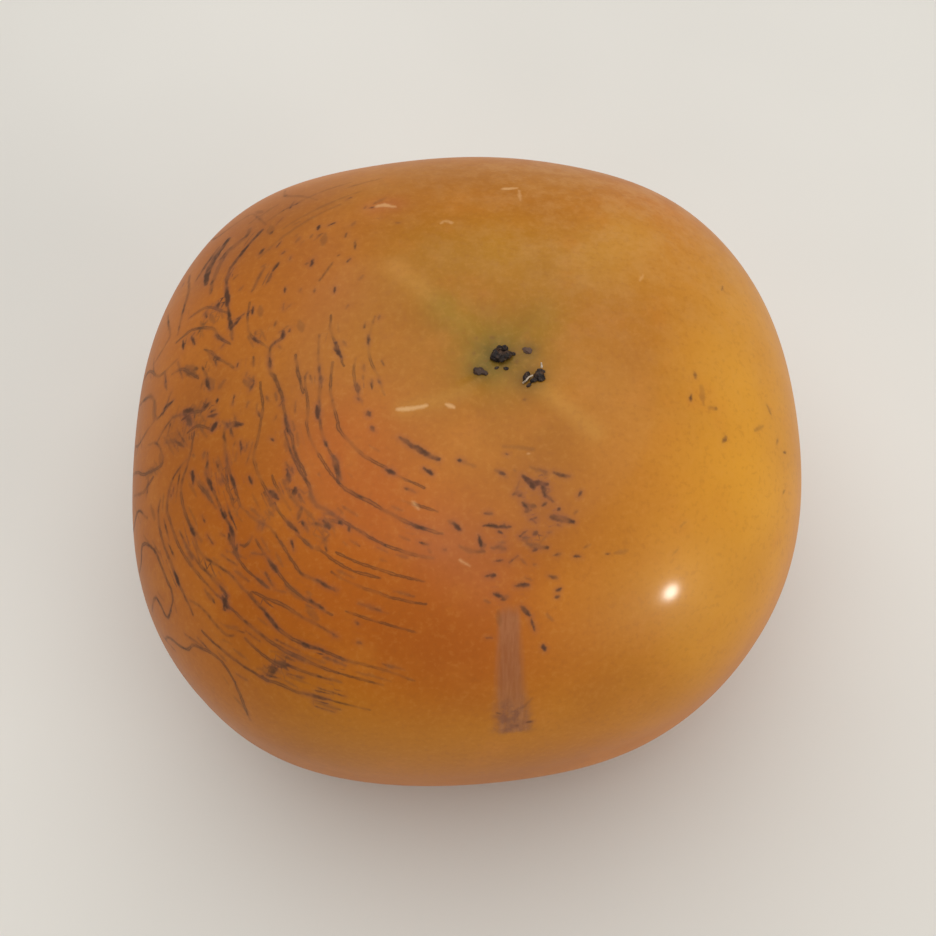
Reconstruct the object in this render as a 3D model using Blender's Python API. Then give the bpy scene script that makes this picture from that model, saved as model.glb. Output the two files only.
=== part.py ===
"""A squat, four-sided persimmon standing on its calyx end, blossom end up.

Metres, +Z up. The origin is on the surface that it rests on, under the middle of the fruit.
"""
import math

import bmesh
import bpy
from mathutils import Euler, Vector

MM = 0.001

# Fruit
RIM_RADIUS = 37.9 * MM          # mean radius at the widest level
FRUIT_HEIGHT = 50.5 * MM        # before the apex dimple and the base hollow
CORNER_SWELL = 0.031            # the four corners stand out by this share of the radius
CORNER_ANGLE = math.radians(47)
UNEVEN_SWELL = 0.012            # a three-sided unevenness
UNEVEN_ANGLE = math.radians(8)
LONG_SWELL = 0.022              # slightly longer one way than the other
LONG_ANGLE = math.radians(12)
TOP_SHOULDER = 0.80             # below 1 the shoulders are fuller
TOP_CROWN = 0.88                # below 1 the end is flatter
BASE_SHOULDER = 0.72
BASE_CROWN = 0.64
APEX_SHIFT = 3.8 * MM           # how far the blossom end sits off the middle, towards +X
DIMPLE_DEPTH = 1.1 * MM
DIMPLE_RADIUS = 7.0 * MM
RIDGE_HEIGHT = 0.35 * MM        # soft ridges from the apex to the corners
RIDGE_START = 3.0 * MM
RIDGE_REACH = 24.0 * MM
SEGMENTS = 72
RINGS = 38
POLE_CROWDING = 0.3             # draws the rings closer together near both ends

# Base of the fruit
HOLLOW_DEPTH = 6.5 * MM         # the hollow that the calyx sits in
HOLLOW_RADIUS = 12.5 * MM
FOOT_DROP = 2.8 * MM            # the four shoulders between the sepals stand lowest
FOOT_RING = 22.0 * MM
FOOT_INNER = 5.5 * MM           # how far a shoulder spreads towards the calyx
FOOT_OUTER = 11.0 * MM
REST_FLAT = 0.2 * MM            # height pressed flat where the highest shoulder rests

# Calyx
CALYX_REACH = 24.0 * MM         # centre to the tip of a lobe
CALYX_WAIST = 10.0 * MM         # centre to the notch between two lobes
DISC_RADIUS = 8.0 * MM
DISC_THICKNESS = 2.2 * MM
LOBE_THICKNESS = 0.7 * MM
CALYX_GAP = 0.4 * MM            # clearance under the flesh
WALL_CLEARANCE = 1.2 * MM       # how much smaller than the hollow the calyx is
CALYX_SEGMENTS = 64
CALYX_RINGS = 20

# Cut stalk
STALK_RADIUS = 2.2 * MM
STALK_FLARE = 1.25              # how much wider it is where it meets the calyx
STALK_FLOOR = 1.0 * MM          # height of its cut end above the surface
STALK_GAP = 0.3 * MM
STALK_BEVEL = 0.3 * MM
STALK_SIDES = 20

# Dried style remnants round the apex
STYLE_TAPER = 0.35              # share of the radius lost from foot to tip
STYLE_BEND = math.radians(20)
STYLE_GAP = 0.35 * MM           # clearance over the skin
STYLE_STEPS = 4
# Name, distance of its foot from the apex, direction of the foot, length, heading, rise, radius
STYLES = (
    ("style_remnant_back_left", 0.9 * MM, 160, 1.7 * MM, 5, 20, 0.8 * MM),
    ("style_remnant_back_right", 2.6 * MM, 16, 1.0 * MM, 40, 8, 0.45 * MM),
    ("style_remnant_front_left", 3.1 * MM, 205, 1.4 * MM, 340, 10, 0.45 * MM),
    ("style_remnant_front_right", 3.1 * MM, 309, 2.1 * MM, 10, 16, 0.6 * MM),
)


def outline(angle):
    """Radius at the widest level, in one direction."""
    return RIM_RADIUS * (
        1
        + CORNER_SWELL * math.cos(4 * (angle - CORNER_ANGLE))
        + UNEVEN_SWELL * math.cos(3 * (angle - UNEVEN_ANGLE))
        + LONG_SWELL * math.cos(2 * (angle - LONG_ANGLE))
    )


def corner_share(angle):
    """1 on a corner, 0 in the middle of a side."""
    return 0.5 + 0.5 * math.cos(4 * (angle - CORNER_ANGLE))


def bump(distance, width, power=2):
    """1 at no distance, falling smoothly to 0 past the width."""
    return math.exp(-abs(distance / width) ** power)


def top_height(radius, angle):
    """Height of the skin above the widest level."""
    sine = min(1.0, radius / outline(angle)) ** (1 / TOP_SHOULDER)
    dome = FRUIT_HEIGHT / 2 * math.sqrt(1 - sine * sine) ** TOP_CROWN
    dimple = DIMPLE_DEPTH * bump(radius, DIMPLE_RADIUS)
    along = bump(radius, RIDGE_REACH) - bump(radius, RIDGE_START)
    return dome - dimple + RIDGE_HEIGHT * along * corner_share(angle) ** 3


def top_shift(radius, angle):
    """Sideways shift towards the off-centre apex, none at the widest level."""
    share = min(1.0, radius / outline(angle))
    return APEX_SHIFT * (1 - share * share) ** 1.5


def base_height(radius, angle, hollow_radius=HOLLOW_RADIUS):
    """Height of the underside above the lowest level of a plain rounded base."""
    sine = min(1.0, radius / outline(angle)) ** (1 / BASE_SHOULDER)
    bowl = FRUIT_HEIGHT / 2 * (1 - math.sqrt(1 - sine * sine) ** BASE_CROWN)
    hollow = HOLLOW_DEPTH * bump(radius, hollow_radius, 4)
    spread = FOOT_INNER if radius < FOOT_RING else FOOT_OUTER
    foot = FOOT_DROP * corner_share(angle) ** 2 * bump(radius - FOOT_RING, spread)
    return bowl + hollow - foot


def foot_level(corner, steps=200):
    """The least that base_height gives along one of the four corners."""
    angle = CORNER_ANGLE + corner * math.pi / 2
    return min(base_height(FOOT_RING * 2 * i / steps, angle) for i in range(steps))


REST_LEVEL = max(foot_level(corner) for corner in range(4)) + REST_FLAT
MIDDLE = FRUIT_HEIGHT / 2 - REST_LEVEL   # height of the widest level


def skin_point(tilt, angle):
    """A point of the fruit's skin. tilt runs from 0 at the apex to pi under the base."""
    if tilt < math.pi / 2:
        radius = outline(angle) * math.sin(tilt) ** TOP_SHOULDER
        height = MIDDLE + top_height(radius, angle)
        shift = top_shift(radius, angle)
    else:
        radius = outline(angle) * max(0.0, math.sin(tilt)) ** BASE_SHOULDER
        height = base_height(radius, angle) - REST_LEVEL
        shift = 0
    return Vector((radius * math.cos(angle) + shift, radius * math.sin(angle), height))


def principled(name, colour, roughness, metallic=0.0):
    """A plain Principled BSDF material."""
    material = bpy.data.materials.new(name)
    material.use_nodes = True
    shader = material.node_tree.nodes["Principled BSDF"]
    shader.inputs["Base Color"].default_value = (*colour, 1)
    shader.inputs["Roughness"].default_value = roughness
    shader.inputs["Metallic"].default_value = metallic
    return material


def add_object(name, data, collection, parent, material):
    """Links a mesh or curve as one named sub-part."""
    data.materials.append(material)
    part = bpy.data.objects.new(name, data)
    collection.objects.link(part)
    part.parent = parent
    return part


def round_mesh(segments, rings, place):
    """A UV sphere whose vertices are moved to place(tilt, angle)."""
    bm = bmesh.new()
    bmesh.ops.create_uvsphere(bm, u_segments=segments, v_segments=rings, radius=1)
    for vert in bm.verts:
        tilt = math.acos(max(-1.0, min(1.0, vert.co.z)))
        vert.co = place(tilt, math.atan2(vert.co.y, vert.co.x))
    return bm


def finish_mesh(bm, name):
    """Turns a bmesh into a smooth-shaded mesh."""
    bmesh.ops.recalc_face_normals(bm, faces=bm.faces)
    mesh = bpy.data.meshes.new(name)
    bm.to_mesh(mesh)
    bm.free()
    mesh.shade_smooth()
    mesh.set_sharp_from_angle(angle=math.radians(50))
    return mesh


def fruit_mesh():
    """The flesh, with small true flats where its four lower shoulders rest."""

    def place(tilt, angle):
        crowded = tilt - POLE_CROWDING * math.sin(2 * tilt)
        return skin_point(crowded, angle)

    bm = round_mesh(SEGMENTS, RINGS, place)
    bmesh.ops.bisect_plane(
        bm,
        geom=bm.verts[:] + bm.edges[:] + bm.faces[:],
        dist=MM * 1e-3,
        plane_co=(0, 0, 0),
        plane_no=(0, 0, -1),
        clear_outer=True,
    )
    bmesh.ops.holes_fill(bm, edges=[edge for edge in bm.edges if edge.is_boundary])
    return finish_mesh(bm, "fruit")


def calyx_outline(angle):
    """Radius of the calyx in one direction: four broad lobes with blunt tips."""
    across = abs(math.sin(2 * (angle - CORNER_ANGLE)))
    tip = bump(1 - across, 0.03)
    return CALYX_WAIST + (CALYX_REACH - CALYX_WAIST) * (0.9 * across**0.9 + 0.1 * tip)


def calyx_thickness(radius):
    """A thick middle disc that thins into the lobes."""
    return LOBE_THICKNESS + (DISC_THICKNESS - LOBE_THICKNESS) * bump(radius, DISC_RADIUS, 6)


def calyx_mesh():
    """One leathery cap of four lobes that follows the underside of the flesh."""

    def place(tilt, angle):
        share = min(1.0, math.sin(tilt))
        radius = calyx_outline(angle) * share
        roof = base_height(radius, angle, HOLLOW_RADIUS - WALL_CLEARANCE) - REST_LEVEL - CALYX_GAP
        half = calyx_thickness(radius) / 2
        rounding = math.sqrt(1 - share**8)
        height = roof - half + math.copysign(half * rounding, math.cos(tilt))
        return Vector((radius * math.cos(angle), radius * math.sin(angle), height))

    return finish_mesh(round_mesh(CALYX_SEGMENTS, CALYX_RINGS, place), "calyx")


def stalk_mesh():
    """A short woody stalk, cut square, that flares where it meets the calyx."""
    top = base_height(0, 0) - REST_LEVEL - CALYX_GAP - DISC_THICKNESS - STALK_GAP
    length = top - STALK_FLOOR
    bm = bmesh.new()
    bmesh.ops.create_cone(
        bm,
        cap_ends=True,
        segments=STALK_SIDES,
        radius1=STALK_RADIUS,
        radius2=STALK_RADIUS * STALK_FLARE,
        depth=length,
    )
    bmesh.ops.translate(bm, vec=(0, 0, STALK_FLOOR + length / 2), verts=bm.verts)
    rims = [edge for edge in bm.edges if abs(edge.verts[0].co.z - edge.verts[1].co.z) < STALK_BEVEL]
    bmesh.ops.bevel(bm, geom=rims, offset=STALK_BEVEL, segments=2, affect="EDGES")
    return finish_mesh(bm, "stalk")


def style_curve(name, distance, direction, length, heading, rise, thickness):
    """A dried style: a short tapering twig that lies over the skin."""
    curve = bpy.data.curves.new(name, "CURVE")
    curve.dimensions = "3D"
    curve.bevel_depth = thickness
    curve.bevel_resolution = 2
    curve.use_fill_caps = True
    spline = curve.splines.new("POLY")
    spline.points.add(STYLE_STEPS)
    foot = Vector((distance, 0, 0))
    foot.rotate(Euler((0, 0, math.radians(direction))))
    for i, point in enumerate(spline.points):
        share = i / STYLE_STEPS
        reach = Vector((length * share, 0, 0))
        turn = math.radians(heading) + STYLE_BEND * math.sin(math.pi * share)
        reach.rotate(Euler((0, -math.radians(rise), turn)))
        place = foot + reach
        radius, angle = place.xy.length, math.atan2(place.y, place.x)
        skin = MIDDLE + top_height(radius, angle)
        lift = skin + thickness + STYLE_GAP
        point.co = (place.x + top_shift(radius, angle), place.y, place.z + lift, 1)
        point.radius = 1 - STYLE_TAPER * share
    return curve


def main():
    for old in list(bpy.data.objects):
        bpy.data.objects.remove(old, do_unlink=True)
    parts = bpy.data.collections.new("persimmon")
    bpy.context.scene.collection.children.link(parts)
    core = bpy.data.objects.new("persimmon_core", None)
    core.empty_display_size = 0.02
    parts.objects.link(core)

    flesh = principled("fruit_skin", (0.48, 0.19, 0.035), 0.42)
    leaf = principled("dry_calyx", (0.20, 0.17, 0.07), 0.75)
    wood = principled("cut_stalk", (0.13, 0.08, 0.04), 0.8)
    dried = principled("dried_style", (0.02, 0.015, 0.012), 0.7)

    fruit = add_object("fruit", fruit_mesh(), parts, core, flesh)
    add_object("calyx", calyx_mesh(), parts, core, leaf)
    add_object("stalk", stalk_mesh(), parts, core, wood)
    for style in STYLES:
        add_object(style[0], style_curve(*style), parts, core, dried)

    corners = [Vector(corner) for corner in fruit.bound_box]
    centre = (Vector(map(min, *corners)) + Vector(map(max, *corners))) / 2
    core.location = (-centre.x, -centre.y, 0)


main()
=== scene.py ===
import math

import bmesh
import bpy
import numpy as np
from mathutils import Matrix, Vector, noise


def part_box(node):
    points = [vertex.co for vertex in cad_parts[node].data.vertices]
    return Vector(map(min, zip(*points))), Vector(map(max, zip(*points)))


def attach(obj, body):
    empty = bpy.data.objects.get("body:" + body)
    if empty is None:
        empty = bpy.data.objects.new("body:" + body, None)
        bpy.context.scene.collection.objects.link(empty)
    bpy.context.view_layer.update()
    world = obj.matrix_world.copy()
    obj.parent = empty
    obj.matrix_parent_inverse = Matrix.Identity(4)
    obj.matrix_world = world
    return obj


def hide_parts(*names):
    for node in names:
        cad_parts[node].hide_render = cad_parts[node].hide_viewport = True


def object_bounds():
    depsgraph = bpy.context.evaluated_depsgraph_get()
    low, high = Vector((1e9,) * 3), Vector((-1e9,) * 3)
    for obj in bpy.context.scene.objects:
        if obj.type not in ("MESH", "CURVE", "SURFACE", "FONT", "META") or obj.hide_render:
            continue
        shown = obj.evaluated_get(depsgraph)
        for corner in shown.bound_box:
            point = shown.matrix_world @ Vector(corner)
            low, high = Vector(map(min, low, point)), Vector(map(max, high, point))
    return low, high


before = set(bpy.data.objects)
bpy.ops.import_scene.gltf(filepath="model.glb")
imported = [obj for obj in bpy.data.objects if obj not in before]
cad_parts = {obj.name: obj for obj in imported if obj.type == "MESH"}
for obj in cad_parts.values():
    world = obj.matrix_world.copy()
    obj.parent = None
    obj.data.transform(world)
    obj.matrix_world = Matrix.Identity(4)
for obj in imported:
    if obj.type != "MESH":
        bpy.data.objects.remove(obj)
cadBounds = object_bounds()

mm = 0.001
rad = math.radians
rng = np.random.default_rng(23)


class Wire:
    # wraps one socket of a material, so that maths on a mask reads like arithmetic
    def __init__(self, tree, socket=None):
        self.tree = tree
        self.socket = socket

    def node(self, kind, settings=None, sockets=None, out=0):
        made = self.tree.nodes.new("ShaderNode" + kind)
        for name, value in (settings or {}).items():
            setattr(made, name, value)
        for name, value in (sockets or {}).items():
            if isinstance(value, Wire):
                self.tree.links.new(value.socket, made.inputs[name])
            else:
                made.inputs[name].default_value = value
        return Wire(self.tree, made.outputs[out])

    def maths(self, operation, a, b=0.0):
        return self.node("Math", {"operation": operation}, {0: a, 1: b})

    def __add__(self, other):
        return self.maths("ADD", self, other)

    def __radd__(self, other):
        return self.maths("ADD", other, self)

    def __sub__(self, other):
        return self.maths("SUBTRACT", self, other)

    def __rsub__(self, other):
        return self.maths("SUBTRACT", other, self)

    def __mul__(self, other):
        return self.maths("MULTIPLY", self, other)

    def __rmul__(self, other):
        return self.maths("MULTIPLY", other, self)

    def above(self, other):
        return self.maths("MAXIMUM", self, other)

    def size(self):
        return self.maths("ABSOLUTE", self)

    def root(self):
        return self.maths("SQRT", self)

    # 0 below low, 1 above high, smooth between
    def rise(self, low, high):
        ends = {"Value": self, "From Min": low, "From Max": high}
        return self.node("MapRange", {"interpolation_type": "SMOOTHSTEP"}, ends)

    # this mask carries the colour under to the colour over
    def blend(self, under, over, mode="MIX"):
        settings = {"data_type": "RGBA", "blend_type": mode, "clamp_factor": True}
        return self.node("Mix", settings, {0: self, 6: under, 7: over}, 2)

    def field(self, name, out=2):
        return self.node("Attribute", {"attribute_name": name}, out=out)

    def grain(self, scale, detail=2.0, roughness=0.5, along=None, offset=(0, 0, 0)):
        place = self.node("TexCoord", out=3)
        sockets = {"Vector": place, "Location": offset, "Scale": along or (1, 1, 1)}
        place = self.node("Mapping", None, sockets)
        sockets = {"Vector": place, "Scale": scale, "Detail": detail, "Roughness": roughness}
        return self.node("TexNoise", None, sockets)


def newFinish(name, settings):
    # a Principled material, its plain numbers set on the shader's own sockets
    material = bpy.data.materials.new(name)
    material.use_nodes = True
    shader = material.node_tree.nodes["Principled BSDF"]
    for socket, value in settings.items():
        shader.inputs[socket].default_value = value
    return material, shader, Wire(material.node_tree)


def feed(shader, socket, wire):
    wire.tree.links.new(wire.socket, shader.inputs[socket])


def addBump(start, shader, height, strength, distance):
    sockets = {"Height": height, "Strength": strength, "Distance": distance}
    feed(shader, "Normal", start.node("Bump", None, sockets))


def rgb(r, g, b):
    return (r, g, b, 1.0)


# Camera and floor

camera = {
    "aim": Vector((0.07, -0.35, -1.3)) * mm,   # from the middle of the whole object
    "height": 66.8,                            # degrees above the floor
    "distance": 150.9 * mm,
    "lens": 50.0,
    "sensor": 36.0,
}


def addCamera():
    low, high = (Vector(corner) for corner in cadBounds)
    aim = (low + high) / 2 + camera["aim"]
    rise = rad(camera["height"])
    data = bpy.data.cameras.new("camera")
    data.lens = camera["lens"]
    data.sensor_width = camera["sensor"]
    data.clip_start = 0.01
    seat = bpy.data.objects.new("camera", data)
    away = Vector((0, -math.cos(rise), math.sin(rise)))
    seat.location = aim + away * camera["distance"]
    seat.rotation_euler = away.to_track_quat("Z", "Y").to_euler()
    bpy.context.scene.collection.objects.link(seat)
    bpy.context.scene.camera = seat


floor = {
    "half": 3.0,
    "tone": rgb(0.80, 0.785, 0.745),
    "toneDark": rgb(0.75, 0.735, 0.695),
}


def addFloor():
    half = floor["half"]
    corners = [(-half, -half, 0), (half, -half, 0), (half, half, 0), (-half, half, 0)]
    mesh = bpy.data.meshes.new("floor")
    mesh.from_pydata(corners, [], [(0, 1, 2, 3)])
    ground = bpy.data.objects.new("floor", mesh)
    bpy.context.scene.collection.objects.link(ground)
    material, shader, start = newFinish("matt_board", {"Roughness": 0.75, "Specular IOR Level": 0.12})
    cloud = start.grain(9.0, 3.0).rise(0.3, 0.7)
    feed(shader, "Base Color", cloud.blend(floor["tone"], floor["toneDark"]))
    addBump(start, shader, start.grain(900.0, 3.0), 0.06, 0.1 * mm)
    mesh.materials.append(material)


# Turn is the direction round the apex in degrees, 0 towards +X and 90 towards +Y.
# Arc is the way along the skin from the apex, in millimetres.

fruit = {
    "rimRadius": 37.9 * mm,     # mean radius at the widest level
    "height": 50.5 * mm,
    "cornerSwell": 0.031,
    "cornerTurn": rad(47),
    "unevenSwell": 0.012,
    "unevenTurn": rad(8),
    "longSwell": 0.022,
    "longTurn": rad(12),
    "topShoulder": 0.80,
    "topCrown": 0.88,
    "baseShoulder": 0.72,
    "baseCrown": 0.64,
    "apexShift": 3.8 * mm,
    "dimpleDepth": 1.1 * mm,
    "dimpleRadius": 7.0 * mm,
    "ridgeHeight": 0.35 * mm,
    "ridgeStart": 3.0 * mm,
    "ridgeReach": 24.0 * mm,
    "hollowDepth": 6.5 * mm,
    "hollowRadius": 12.5 * mm,
    "footDrop": 2.8 * mm,
    "footRing": 22.0 * mm,
    "footInner": 5.5 * mm,
    "footOuter": 11.0 * mm,
    "restFlat": 0.2 * mm,
    "waveSeed": 4,
    "waves": 9,
    "waveLength": (16, 34),     # mm
    "waviness": 0.16 * mm,      # slow unevenness of the skin
    "armHeight": 0.12 * mm,     # the four fine crests that meet at the apex
    "armWidth": 1.1 * mm,
    "armBend": 1.1 * mm,        # how far a crest wanders to the side
    "armTurns": (46, 135, 222, 318),
    "fineTurns": (125, 306),    # the sector with closely spaced columns
    "fineStep": 0.58,
    "midStep": 0.95,
    "coarseStep": 1.7,
    "midEnd": 35,               # past this turn the columns are widest apart
    "detailArc": 50,            # mm from the apex to where the rows start to widen
    "fineRow": 0.3,
    "rowGrowth": 0.12,
    "midRow": 0.42,
    "coarseRow": 1.3,
}


def bell(distance, width, power=2):
    return np.exp(-np.abs(distance / width) ** power)


def outlineAt(turn):
    f = fruit
    swell = f["cornerSwell"] * np.cos(4 * (turn - f["cornerTurn"]))
    swell = swell + f["unevenSwell"] * np.cos(3 * (turn - f["unevenTurn"]))
    swell = swell + f["longSwell"] * np.cos(2 * (turn - f["longTurn"]))
    return f["rimRadius"] * (1 + swell)


def cornerShare(turn):
    return 0.5 + 0.5 * np.cos(4 * (turn - fruit["cornerTurn"]))


def topHeight(radius, turn):
    f = fruit
    sine = np.minimum(1, radius / outlineAt(turn)) ** (1 / f["topShoulder"])
    dome = f["height"] / 2 * np.sqrt(1 - sine**2) ** f["topCrown"]
    ridge = bell(radius, f["ridgeReach"]) - bell(radius, f["ridgeStart"])
    ridge = f["ridgeHeight"] * ridge * cornerShare(turn) ** 3
    return dome - f["dimpleDepth"] * bell(radius, f["dimpleRadius"]) + ridge


def topShift(radius, turn):
    share = np.minimum(1, radius / outlineAt(turn))
    return fruit["apexShift"] * (1 - share**2) ** 1.5


def baseHeight(radius, turn, hollowRadius):
    f = fruit
    sine = np.minimum(1, radius / outlineAt(turn)) ** (1 / f["baseShoulder"])
    bowl = f["height"] / 2 * (1 - np.sqrt(1 - sine**2) ** f["baseCrown"])
    spread = np.where(radius < f["footRing"], f["footInner"], f["footOuter"])
    foot = f["footDrop"] * cornerShare(turn) ** 2 * bell(radius - f["footRing"], spread)
    return bowl + f["hollowDepth"] * bell(radius, hollowRadius, 4) - foot


def restLevel():
    radii = np.linspace(0, 2 * fruit["footRing"], 200, endpoint=False)
    corners = [fruit["cornerTurn"] + k * math.pi / 2 for k in range(4)]
    lowest = [baseHeight(radii, corner, fruit["hollowRadius"]).min() for corner in corners]
    return max(lowest) + fruit["restFlat"]


rest = restLevel()
middle = fruit["height"] / 2 - rest


def skinPoints(tilt, turn):
    # tilt runs from 0 at the apex to pi under the base; the feet aren't pressed flat yet
    tilt, turn = np.broadcast_arrays(tilt, turn)
    upper = tilt < math.pi / 2
    sine = np.clip(np.sin(tilt), 0, 1)
    radius = outlineAt(turn) * sine ** np.where(upper, fruit["topShoulder"], fruit["baseShoulder"])
    height = np.where(
        upper,
        middle + topHeight(radius, turn),
        baseHeight(radius, turn, fruit["hollowRadius"]) - rest,
    )
    shift = np.where(upper, topShift(radius, turn), 0)
    return np.stack([radius * np.cos(turn) + shift, radius * np.sin(turn), height], -1)


tiltSteps = np.linspace(1e-4, math.pi - 1e-4, 700)


def meridianArcs(turns):
    # how far each tilt step lies from the apex along the skin, for each turn
    points = skinPoints(tiltSteps[None, :], np.asarray(turns)[:, None])
    steps = np.linalg.norm(np.diff(points, axis=1), axis=-1)
    return np.concatenate([np.zeros((len(points), 1)), np.cumsum(steps, 1)], 1)


def placeOnSkin(turns, arcs):
    # points of the skin at turns in degrees and arcs in millimetres
    turns = np.radians(np.asarray(turns, float))
    arcs = np.asarray(arcs, float) * mm
    table = meridianArcs(turns)
    tilt = np.array([np.interp(arc, row, tiltSteps) for arc, row in zip(arcs, table)])
    return skinPoints(tilt, turns)


def skinFinder(turns, arcs):
    # points with their outward normals
    points = placeOnSkin(turns, arcs)
    across = placeOnSkin(np.asarray(turns) + 0.3, arcs) - points
    along = placeOnSkin(turns, np.asarray(arcs) + 0.2) - points
    normals = np.cross(along, across)
    return points, normals / np.linalg.norm(normals, axis=-1, keepdims=True)


# Marks on the skin: half width in mm, darkness, then turn and arc of each point.
# Darkness is about 0.3 for a faint mauve line and 1 for a black one; -1 is a pale mark, used for pale scars
# and painted glints.

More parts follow.
